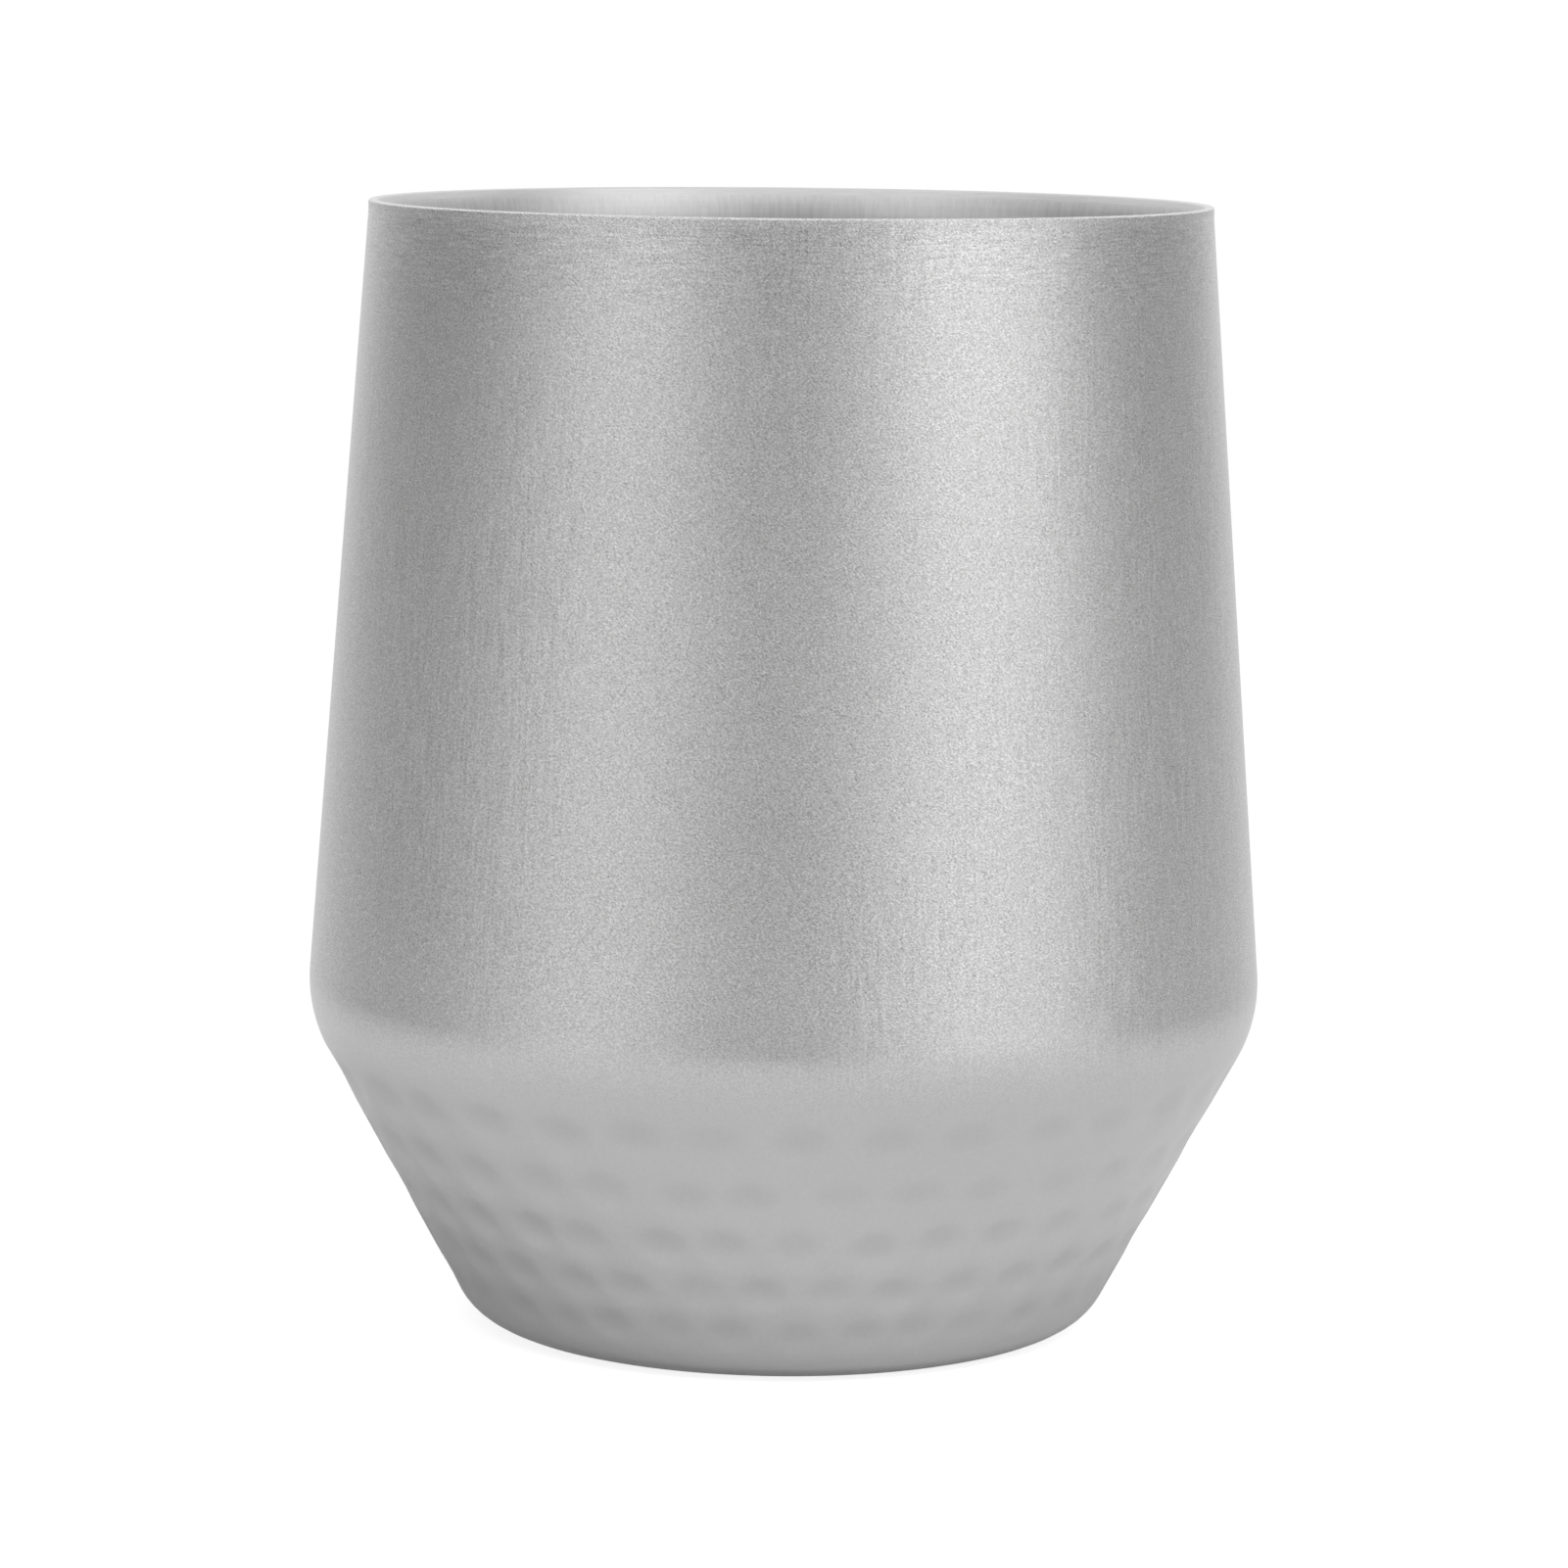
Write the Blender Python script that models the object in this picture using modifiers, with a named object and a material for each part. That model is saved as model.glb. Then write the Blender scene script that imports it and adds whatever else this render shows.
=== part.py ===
"""Double-wall insulated cup with a hammered lower cone, standing on z = 0, in metres."""

import math

import bmesh
import bpy
from mathutils import Vector

# Outer form: straight walls that meet in sharp corners, each corner then rounded
CUP_HEIGHT = 0.1035
RIM_RADIUS = 0.03855
LIP_HEIGHT = 0.0007
LIP_EDGE = 0.0003
LIP_BAND = 0.0028
LIP_ROUNDING = 0.040
SHOULDER_RADIUS = 0.04425
SHOULDER_HEIGHT = 0.0291
SHOULDER_ROUNDING = 0.0130
BASE_RADIUS = 0.0286
BASE_ROUNDING = 0.0055

# Opening in the base: the shell turns up into a short neck that takes the base pieces
NECK_RADIUS = 0.0215
NECK_ROUNDING = 0.0012

# Sheet thicknesses, the space between the walls and the gap left where pieces meet
SHELL_WALL = 0.0006
LINER_WALL = 0.0005
BASE_SHEET = 0.0005
FOIL_SHEET = 0.0002
VACUUM_GAP = 0.0030
FIT_GAP = 0.0003

# Hammered cone: staggered rows of shallow bowls, each row lower than the one above it
DIMPLE_COLUMNS = 35
DIMPLE_ROWS = 5
DIMPLE_DEPTH = 0.00025
DIMPLE_SPREAD = 1.1
ROW_RATIO = 0.935
SPANS_PER_ROW = 4

# Liner: it leaves the lip upright, leans in to open the vacuum space, then follows the shell
LINER_BAND = 0.0042
LINER_LEAN = 0.012
LINER_ROUNDING = 0.040
MOUTH_HEIGHT = 0.0034
MOUTH_FLARE = 0.00035
PAN_HEIGHT = 0.0085
PAN_ROUNDING = 0.007
PAN_CLEARANCE = 0.0017
FOIL_MARGIN = 0.003
FOIL_SLIT = math.radians(6.0)

# Base pieces inside the neck, from the table up
CAP_RECESS = 0.0006
CAP_RIM = 0.0016
CAP_ROUNDING = 0.0009
WELD_WIDTH = 0.0010
WELD_HEIGHT = 0.0006
SKIRT_HEIGHT = 0.0018
SKIRT_ROUNDING = 0.0009
PIT_RADIUS = 0.0042
PIT_DEPTH = 0.0011
PIT_ROUNDING = 0.0008
HOLE_RADIUS = 0.0011
BEAD_RADIUS = 0.0026
BEAD_HEIGHT = 0.0008

# Getter on the vacuum side of the base disc
GETTER_OFFSET = 0.0125
GETTER_RADIUS = 0.0045
GETTER_HEIGHT = 0.0018
GETTER_SHEET = 0.0003
PELLET_HEIGHT = 0.0008

# Facets round a full turn: the shell has two for each dimple, doubled on the hammered band
SHELL_STEPS = 2 * DIMPLE_COLUMNS
WALL_STEPS = 48
BASE_STEPS = 32
SMALL_STEPS = 16

# Facets along the seal's lens, and the angle from which an edge shows as sharp
LENS_SPANS = 3
SHARP_ANGLE = math.radians(50.0)


def point(radius, height):
    """A profile point: distance from the axis, height above the table."""
    return Vector((radius, height))


def crossing(point_a, along_a, point_b, along_b):
    """Where two lines of the profile plane cross."""
    share = (point_b - point_a).cross(along_b) / along_a.cross(along_b)
    return point_a + along_a * share


def at_height(start, end, height):
    """The point at a height on the line through two points."""
    return start.lerp(end, (height - start.y) / (end.y - start.y))


def offset_path(corners, distance):
    """The corners of a path moved to its right-hand side, as seen when walking along it."""
    lines = []
    for start, end in zip(corners, corners[1:]):
        along = (end - start).normalized()
        right = Vector((along.y, -along.x))
        lines.append((start + right * distance, along))
    moved = [lines[0][0]]
    for (point_a, along_a), (point_b, along_b) in zip(lines, lines[1:]):
        moved.append(crossing(point_a, along_a, point_b, along_b))
    last_length = (corners[-1] - corners[-2]).length
    moved.append(lines[-1][0] + lines[-1][1] * last_length)
    return moved


def offset_radii(corners, radii, distance):
    """Corner radii of a path moved to its right: right turns tighten, left turns widen."""
    moved = []
    for before, corner, after, radius in zip(corners, corners[1:], corners[2:], radii):
        turn = (corner - before).cross(after - corner)
        moved.append(radius + math.copysign(distance, turn))
    return moved


def corner_arc(before, corner, after, radius, spans):
    """Points of the arc that rounds a corner, from one straight to the next."""
    back = (before - corner).normalized()
    ahead = (after - corner).normalized()
    half_angle = back.angle(ahead) / 2
    centre = corner + (back + ahead).normalized() * radius / math.sin(half_angle)
    start = (corner + back * radius / math.tan(half_angle) - centre).normalized()
    end = (corner + ahead * radius / math.tan(half_angle) - centre).normalized()
    return [centre + start.slerp(end, i / spans) * radius for i in range(spans + 1)]


def rounded_path(corners, radii, spans):
    """The path with an arc in place of each inner corner."""
    points = [corners[0]]
    for before, corner, after, radius, count in zip(corners, corners[1:], corners[2:], radii, spans):
        points.extend(corner_arc(before, corner, after, radius, count))
    points.append(corners[-1])
    return points


def sheet_profile(corners, radii, outer_spans, inner_spans, thickness):
    """Outline of a bent sheet: its outer face along the path, then back along its inner face."""
    outer = rounded_path(corners, radii, outer_spans)
    inner_corners = offset_path(corners, thickness)
    inner = rounded_path(inner_corners, offset_radii(corners, radii, thickness), inner_spans)
    if outer[-1].x == 0:
        inner[-1].x = 0.0
        return inner[::-1] + outer
    return outer + inner[::-1]


def steel(name, colour, roughness, metallic=1.0):
    """A plain material with the colour and the finish of one piece."""
    material = bpy.data.materials.new(name)
    material.use_nodes = True
    shader = material.node_tree.nodes["Principled BSDF"]
    shader.inputs["Base Color"].default_value = (*colour, 1.0)
    shader.inputs["Roughness"].default_value = roughness
    shader.inputs["Metallic"].default_value = metallic
    material.diffuse_color = (*colour, 1.0)
    return material


def profile_object(name, profile, material, closed):
    """A new object in the cup's collection that holds the profile as a chain of edges."""
    edges = [(i, i + 1) for i in range(len(profile) - 1)]
    if closed:
        edges.append((len(profile) - 1, 0))
    mesh = bpy.data.meshes.new(name)
    mesh.from_pydata([(p.x, 0.0, p.y) for p in profile], edges, [])
    mesh.materials.append(material)
    item = bpy.data.objects.new(name, mesh)
    cup.objects.link(item)
    return item


def turn(item, steps, angle=math.tau):
    """Turn an object's profile about the upright axis."""
    screw = item.modifiers.new("Turn", 'SCREW')
    screw.axis = 'Z'
    screw.angle = angle
    screw.steps = steps
    screw.render_steps = steps
    screw.use_merge_vertices = angle == math.tau
    screw.merge_threshold = 0.00001
    return item


def turned(name, profile, steps, material):
    """A turned piece: a closed ring, or a solid whose profile starts and ends on the axis."""
    closed = profile[0].x > 0
    return turn(profile_object(name, profile, material, closed), steps)


def apply_modifiers(item):
    """Replace an object's mesh by what its modifiers make of it."""
    evaluated = item.evaluated_get(bpy.context.evaluated_depsgraph_get())
    mesh = bpy.data.meshes.new_from_object(evaluated)
    item.modifiers.clear()
    item.data = mesh


def shade(item):
    """Shade a piece smooth apart from its sharp edges."""
    item.data.shade_smooth()
    item.data.set_sharp_from_angle(angle=SHARP_ANGLE)


def flared(spot):
    """A point of the liner's inner face, moved out where the face opens towards the lip."""
    share = max(0.0, 1 - (CUP_HEIGHT - spot.y) / MOUTH_HEIGHT)
    return point(spot.x + MOUTH_FLARE * share ** 2, spot.y)


def row_edges(band_length):
    """Distances down the cone at which the dimple rows start and end."""
    first = band_length * (1 - ROW_RATIO) / (1 - ROW_RATIO ** DIMPLE_ROWS)
    edges = [0.0]
    for row in range(DIMPLE_ROWS):
        edges.append(edges[-1] + first * ROW_RATIO ** row)
    return edges


def band_rings(top, bottom):
    """Profile points between the ends of the hammered band, a few for each row."""
    edges = row_edges((bottom - top).length)
    along = (bottom - top).normalized()
    distances = []
    for start, end in zip(edges, edges[1:]):
        distances.extend(start + (end - start) * i / SPANS_PER_ROW for i in range(SPANS_PER_ROW))
    return [top + along * distance for distance in distances[1:]]


def dimple_depth(angle, distance, edges):
    """How far the hammered cone is pressed in at an angle and a distance down its slope."""
    depth = 0.0
    for row, (top, bottom) in enumerate(zip(edges, edges[1:])):
        turns = angle * DIMPLE_COLUMNS / math.tau + (row + 1) / 2
        across = 2 * (turns - round(turns))
        down = (2 * distance - top - bottom) / (bottom - top) / DIMPLE_SPREAD
        depth = max(depth, DIMPLE_DEPTH * (1 - across ** 2 - down ** 2))
    return depth


def hammer(item, band_top, band_bottom):
    """Press the rows of dimples into the outer face of the shell's cone."""
    along = (band_bottom - band_top).normalized()
    inward = Vector((along.y, -along.x))
    edges = row_edges((band_bottom - band_top).length)
    mesh = bmesh.new()
    mesh.from_mesh(item.data)

    def place(vertex):
        from_top = point(math.hypot(vertex.co.x, vertex.co.y), vertex.co.z) - band_top
        return from_top.dot(along), from_top.dot(inward)

    def on_band(vertex):
        distance, depth = place(vertex)
        return -FIT_GAP / 10 < distance < edges[-1] + FIT_GAP / 10 and abs(depth) < SHELL_WALL / 4

    rings = [edge for edge in mesh.edges
             if all(on_band(v) for v in edge.verts) and abs(edge.verts[0].co.z - edge.verts[1].co.z) < 1e-7]
    bmesh.ops.subdivide_edges(mesh, edges=rings, cuts=1)
    for vertex in [v for v in mesh.verts if on_band(v)]:
        distance = place(vertex)[0]
        angle = math.atan2(vertex.co.y, vertex.co.x)
        fresh = band_top + along * distance + inward * dimple_depth(angle, distance, edges)
        vertex.co = (fresh.x * math.cos(angle), fresh.x * math.sin(angle), fresh.y)
    mesh.to_mesh(item.data)
    mesh.free()


for old in list(bpy.data.objects):
    bpy.data.objects.remove(old, do_unlink=True)
cup = bpy.data.collections.new("insulated_coffee_cup")
bpy.context.scene.collection.children.link(cup)

satin_steel = steel("satin_steel", (0.56, 0.56, 0.56), 0.34)
polished_rim = steel("polished_rim", (0.72, 0.72, 0.72), 0.18)
liner_steel = steel("liner_steel", (0.62, 0.62, 0.61), 0.28)
pan_steel = steel("pan_steel", (0.60, 0.60, 0.59), 0.30)
seam_steel = steel("seam_steel", (0.42, 0.41, 0.40), 0.45)
copper_foil = steel("copper_foil", (0.78, 0.42, 0.28), 0.25)
pressed_steel = steel("pressed_steel", (0.50, 0.50, 0.50), 0.38)
cap_steel = steel("cap_steel", (0.54, 0.54, 0.54), 0.34)
getter_steel = steel("getter_steel", (0.45, 0.45, 0.46), 0.40)
getter_alloy = steel("getter_alloy", (0.16, 0.16, 0.17), 0.70, 0.6)
seal_glass = steel("seal_glass", (0.20, 0.17, 0.15), 0.25, 0.0)

# Lip: the bead spans both walls and the gap between them
bead_base = CUP_HEIGHT - LIP_HEIGHT
wall_top = bead_base - FIT_GAP
mouth_radius = RIM_RADIUS - SHELL_WALL - FIT_GAP
inside_radius = mouth_radius - LINER_WALL

# Heights of the stack inside the neck: cap, seam bead, disc, getter, then the liner's pan
cap_rim_top = CAP_RECESS + BASE_SHEET + CAP_RIM
seam_low = cap_rim_top + FIT_GAP
seam_high = seam_low + WELD_HEIGHT
skirt_low = seam_high + FIT_GAP
plate_top = skirt_low + SKIRT_HEIGHT
pit_top = plate_top + PIT_DEPTH
getter_low = plate_top + FIT_GAP
pan_low = getter_low + GETTER_HEIGHT + PAN_CLEARANCE
liner_low = pan_low + PAN_HEIGHT

# Outer shell: down the outside, in along the foot and up the neck
shell_corners = [point(RIM_RADIUS, wall_top),
                 point(RIM_RADIUS, CUP_HEIGHT - LIP_BAND),
                 point(SHOULDER_RADIUS, SHOULDER_HEIGHT),
                 point(BASE_RADIUS, 0.0),
                 point(NECK_RADIUS, 0.0),
                 point(NECK_RADIUS, plate_top)]
shell_radii = [LIP_ROUNDING, SHOULDER_ROUNDING, BASE_ROUNDING, NECK_ROUNDING]
shell_profile = sheet_profile(shell_corners, shell_radii, [1, 4, 2, 1], [1, 2, 1, 1], SHELL_WALL)
band_top = corner_arc(*shell_corners[1:4], SHOULDER_ROUNDING, 1)[1]
band_bottom = corner_arc(*shell_corners[2:5], BASE_ROUNDING, 1)[0]
band_place = next(i for i, p in enumerate(shell_profile) if (p - band_top).length < FIT_GAP / 10) + 1
shell_profile[band_place:band_place] = band_rings(band_top, band_bottom)
outer_shell = turned("outer_shell", shell_profile, SHELL_STEPS, satin_steel)
apply_modifiers(outer_shell)
hammer(outer_shell, band_top, band_bottom)

# Rim bead: it covers the top edges of both walls and has rounded edges of its own
lip_corners = [flared(point(inside_radius, bead_base)),
               flared(point(inside_radius, CUP_HEIGHT)),
               point(RIM_RADIUS, CUP_HEIGHT),
               point(RIM_RADIUS, bead_base)]
lip_profile = rounded_path(lip_corners, [LIP_EDGE, LIP_EDGE], [1, 2])
turned("rim_weld", lip_profile, SHELL_STEPS, polished_rim)

# Liner: the same walls moved in by the vacuum space, joined to the lip by a leaning stretch
gap_corners = offset_path(shell_corners, SHELL_WALL + VACUUM_GAP)
lean_top = CUP_HEIGHT - LINER_BAND
liner_corners = [point(mouth_radius, wall_top),
                 point(mouth_radius, lean_top),
                 at_height(gap_corners[1], gap_corners[2], lean_top - LINER_LEAN),
                 gap_corners[2],
                 at_height(gap_corners[2], gap_corners[3], liner_low)]
liner_radii = [LINER_ROUNDING, LINER_ROUNDING, SHOULDER_ROUNDING - SHELL_WALL - VACUUM_GAP]
liner_outer = rounded_path(liner_corners, liner_radii, [1, 1, 2])
liner_inner = rounded_path(offset_path(liner_corners, LINER_WALL),
                           offset_radii(liner_corners, liner_radii, LINER_WALL), [3, 1, 3])
liner_profile = liner_outer + [flared(spot) for spot in reversed(liner_inner)]
turned("inner_liner", liner_profile, WALL_STEPS, liner_steel)

# Liner bottom: a pan that carries the liner's cone on below the seam
pan_corners = [at_height(gap_corners[2], gap_corners[3], liner_low - FIT_GAP),
               at_height(gap_corners[2], gap_corners[3], pan_low),
               point(0.0, pan_low)]
pan_profile = sheet_profile(pan_corners, [PAN_ROUNDING], [2], [3], LINER_WALL)
turned("liner_bottom", pan_profile, WALL_STEPS, pan_steel)

# Seam bead of the liner: it lies on the vacuum side, across the seam
cone_along = (gap_corners[3] - gap_corners[2]).normalized()
cone_out = Vector((-cone_along.y, cone_along.x))
seam = at_height(gap_corners[2], gap_corners[3], liner_low) + cone_out * FIT_GAP
seam_profile = [seam - cone_along * WELD_WIDTH / 2,
                seam - cone_along * WELD_WIDTH / 4 + cone_out * WELD_HEIGHT,
                seam + cone_along * WELD_WIDTH / 4 + cone_out * WELD_HEIGHT,
                seam + cone_along * WELD_WIDTH / 2]
turned("liner_weld", seam_profile, WALL_STEPS, seam_steel)

# Foil: one turn of sheet round the straight part of the liner, open at its seam
wall_along = (liner_corners[3] - liner_corners[2]).normalized()
foil_top = corner_arc(*liner_corners[1:4], LINER_ROUNDING, 1)[1] + wall_along * FOIL_MARGIN
foil_bottom = corner_arc(*liner_corners[2:5], liner_radii[2], 1)[0] - wall_along * FOIL_MARGIN
foil_out = Vector((-wall_along.y, wall_along.x)) * FIT_GAP
foil = profile_object("reflective_foil", [foil_top + foil_out, foil_bottom + foil_out], copper_foil, False)
turn(foil, WALL_STEPS, math.tau - FOIL_SLIT)
foil_sheet = foil.modifiers.new("Sheet", 'SOLIDIFY')
foil_sheet.thickness = FOIL_SHEET
foil_sheet.offset = 1.0

# Base cap: a shallow pan inside the neck, clear of the table
cap_radius = NECK_RADIUS - FIT_GAP
cap_corners = [point(cap_radius, cap_rim_top), point(cap_radius, CAP_RECESS), point(0.0, CAP_RECESS)]
cap_profile = sheet_profile(cap_corners, [CAP_ROUNDING], [2], [1], BASE_SHEET)
turned("base_cap", cap_profile, BASE_STEPS, cap_steel)

# Base seam bead: between the cap's rim and the skirt of the disc above it
ring_profile = [point(cap_radius - WELD_WIDTH / 2, seam_high),
                point(cap_radius, seam_high),
                point(cap_radius, seam_low),
                point(cap_radius - WELD_WIDTH, seam_low)]
turned("base_weld", ring_profile, BASE_STEPS, seam_steel)

# Vacuum base: a disc with a skirt, and a pit in its middle for the pump-out hole
disc_corners = [point(HOLE_RADIUS, pit_top),
                point(PIT_RADIUS, pit_top),
                point(PIT_RADIUS + PIT_DEPTH, plate_top),
                point(cap_radius, plate_top),
                point(cap_radius, skirt_low)]
disc_radii = [PIT_ROUNDING, PIT_ROUNDING, SKIRT_ROUNDING]
disc_profile = sheet_profile(disc_corners, disc_radii, [1, 1, 1], [1, 1, 1], BASE_SHEET)
turned("vacuum_base", disc_profile, BASE_STEPS, pressed_steel)

# Seal: a lens of solder glass in the pit, with a stem in the hole
lens_top = pit_top - BASE_SHEET - FIT_GAP
stem_radius = HOLE_RADIUS - FIT_GAP
lens_profile = [point(0.0, pit_top), point(stem_radius, pit_top), point(stem_radius, lens_top)]
for i in range(LENS_SPANS + 1):
    lean = math.pi / 2 * i / LENS_SPANS
    lens_profile.append(point(BEAD_RADIUS * math.cos(lean), lens_top - BEAD_HEIGHT * math.sin(lean)))
lens_profile[-1].x = 0.0
turned("seal_bead", lens_profile, SMALL_STEPS, seal_glass)

# Getter: a small cup on the disc and the pellet that stands in it
cup_corners = [point(GETTER_RADIUS, getter_low + GETTER_HEIGHT),
               point(GETTER_RADIUS, getter_low),
               point(0.0, getter_low)]
cup_profile = sheet_profile(cup_corners, [2 * GETTER_SHEET], [1], [1], GETTER_SHEET)
getter_cup = turned("getter_cup", cup_profile, SMALL_STEPS, getter_steel)
pellet_low = getter_low + GETTER_SHEET + FIT_GAP
pellet_radius = GETTER_RADIUS - GETTER_SHEET - FIT_GAP
pellet_profile = [point(0.0, pellet_low + PELLET_HEIGHT),
                  point(pellet_radius, pellet_low + PELLET_HEIGHT),
                  point(pellet_radius, pellet_low + GETTER_SHEET),
                  point(pellet_radius - GETTER_SHEET, pellet_low),
                  point(0.0, pellet_low)]
getter_pellet = turned("getter_pellet", pellet_profile, SMALL_STEPS, getter_alloy)
for item in (getter_cup, getter_pellet):
    item.location.x = GETTER_OFFSET

for item in cup.objects:
    apply_modifiers(item)
    shade(item)
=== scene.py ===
"""Double-wall steel cup with a hammered lower cone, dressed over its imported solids."""

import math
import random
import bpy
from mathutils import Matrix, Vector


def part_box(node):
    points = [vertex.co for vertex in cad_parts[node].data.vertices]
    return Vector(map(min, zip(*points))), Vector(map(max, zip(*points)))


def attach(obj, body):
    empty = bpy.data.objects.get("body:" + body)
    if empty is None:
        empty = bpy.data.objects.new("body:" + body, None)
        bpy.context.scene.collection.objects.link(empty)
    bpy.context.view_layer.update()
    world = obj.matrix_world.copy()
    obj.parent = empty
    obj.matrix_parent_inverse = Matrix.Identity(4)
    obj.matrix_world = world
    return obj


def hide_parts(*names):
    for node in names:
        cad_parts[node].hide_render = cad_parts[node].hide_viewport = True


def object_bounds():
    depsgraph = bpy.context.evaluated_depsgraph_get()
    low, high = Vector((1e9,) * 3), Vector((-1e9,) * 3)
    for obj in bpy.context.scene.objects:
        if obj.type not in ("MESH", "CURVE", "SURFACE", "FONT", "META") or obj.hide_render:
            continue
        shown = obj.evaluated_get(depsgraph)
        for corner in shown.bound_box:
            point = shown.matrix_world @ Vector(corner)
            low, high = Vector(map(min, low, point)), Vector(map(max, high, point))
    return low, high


bl_info = {
    "name": "Hammered Insulated Cup",
    "version": (1, 0, 0),
    "blender": (4, 5, 0),
    "location": "View3D > Sidebar > Cup",
    "description": "Builds the visible pieces of a double-wall steel cup and its studio",
    "category": "Object",
}

import bpy
from bpy.props import FloatProperty, FloatVectorProperty, IntProperty, PointerProperty
from mathutils import Matrix, Vector

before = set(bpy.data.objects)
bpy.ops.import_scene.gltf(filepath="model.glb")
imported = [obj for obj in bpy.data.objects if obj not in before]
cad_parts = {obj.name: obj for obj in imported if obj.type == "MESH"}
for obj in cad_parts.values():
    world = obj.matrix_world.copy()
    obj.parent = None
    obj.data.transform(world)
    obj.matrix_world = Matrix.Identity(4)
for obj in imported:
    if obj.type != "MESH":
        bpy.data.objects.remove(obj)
CAD_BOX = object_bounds()
CUP_HEIGHT = CAD_BOX[1].z

# Tops of the two walls, where the lip's bead begins
LIP_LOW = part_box("rim_weld")[0].z

# Columns of faces round each piece
COLUMNS_PER_DIMPLE = 10
LIP_COLUMNS = 280
LINER_COLUMNS = 240
COVER_COLUMNS = 180

# Circle that a profile starts from, before its points merge into one
START_RADIUS = 0.001

# Points nearer to each other than this are merged, and edges that bend more than this stay sharp
MERGE_DISTANCE = 0.000004
SHARP_BEND = math.radians(40.0)

# Dimples: seed of their strays, shares of the full depth between which they vary, how wide and tall
# they are in their cells, and how steeply their sides fall
DIMPLE_SEED = 7
DIMPLE_DEPTHS = (0.7, 1.1)
DIMPLE_WIDTH = 0.84
DIMPLE_HEIGHT = 0.92
DIMPLE_FALL = 1.2

# Painted shade in each dimple: how tall it is in the cell, and how far above the middle it sits
SHADE_HEIGHT = 0.60
SHADE_RISE = 0.2

# Grain of the blasted wall: height over which it leans round by one radian, stretch, waves to the
# metre, and how strongly it shows in the colour
GRAIN_LEAN = 0.041
GRAIN_STRETCH = (1.0, 1.0, 1.1)
GRAIN_SCALE = 8000.0
GRAIN_CONTRAST = 2.4

# Heights between which the outer wall turns from smooth to blasted, grows rougher above the cone,
# grows finer again towards the lip, and is brushed
BLAST_HEIGHTS = (0.0235, 0.0385)
ROUGH_HEIGHTS = (0.015, 0.030)
FINE_HEIGHTS = (0.065, 0.100)
BRUSH_HEIGHTS = (CUP_HEIGHT - 0.0140, CUP_HEIGHT - 0.0020)

# Heights between which the liner's mouth grows duller
MOUTH_HEIGHTS = (CUP_HEIGHT - 0.014, CUP_HEIGHT - 0.005)

# Distances in from the lip's outer edge between which the wall's grain gives way
LIP_SMOOTH = 0.0006
LIP_GRAINED = 0.0001

# Values of their noise between which patches of drawn lines, and of heat tint, set in
DRAWN_PATCH = (-0.02, 0.14)
HEAT_PATCH = (-0.05, 0.15)

# Softboxes: degrees round the cup from the camera to the right, degrees above the table, distance,
# width, tall side, radiance, and whether the steel mirrors them
SOFTBOXES = {
    "side_softbox": (55.0, 22.0, 0.9, 0.66, 0.70, 0.39, True),
    "key_softbox": (24.0, 64.0, 1.3, 0.90, 0.90, 4.3, False),
}

# Grey flags in the room: degrees round the cup and heights (as the sine of the rise) at which each
# begins, is full, starts to fade and ends, then how much white it takes away
FLAGS = (
    ((-43.0, -7.0, 4.0, 38.0), (-0.30, 0.15, 0.24, 0.42), 0.84),
    ((-172.0, -113.0, -98.0, -46.0), (-0.40, 0.15, 0.28, 0.52), 0.78),
    ((61.0, 105.0, 123.0, 167.0), (-0.40, 0.15, 0.31, 0.60), 0.67),
)

# Heights between which the flags lean in towards the camera's side, and by how much
FLAG_LEAN = (0.12, 0.32)
FLAG_LEAN_SHARE = 0.45

# Heights between which the room grows brighter, and by how much
ROOM_LIFT = (0.0, 0.4)
ROOM_LIFT_SHARE = 0.22

# Sides of the floor's disc, and how far it lies below the foot
FLOOR_SIDES = 96
FLOOR_DROP = 0.00004

# Camera: width of its sensor in millimetres, and how near it sees
SENSOR_WIDTH = 36.0
NEAREST = 0.01


def length(name, default, description):
    """A size, shown in the scene's unit of length."""
    return FloatProperty(name=name, default=default, description=description, unit='LENGTH', precision=5)


def share(name, default, description):
    """A number from nought to one."""
    return FloatProperty(name=name, default=default, description=description, min=0.0, max=1.0,
                         subtype='FACTOR')


def tint(name, default, description):
    """A linear colour."""
    return FloatVectorProperty(name=name, default=default, description=description, size=3,
                               subtype='COLOR', min=0.0, max=1.0)


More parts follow.
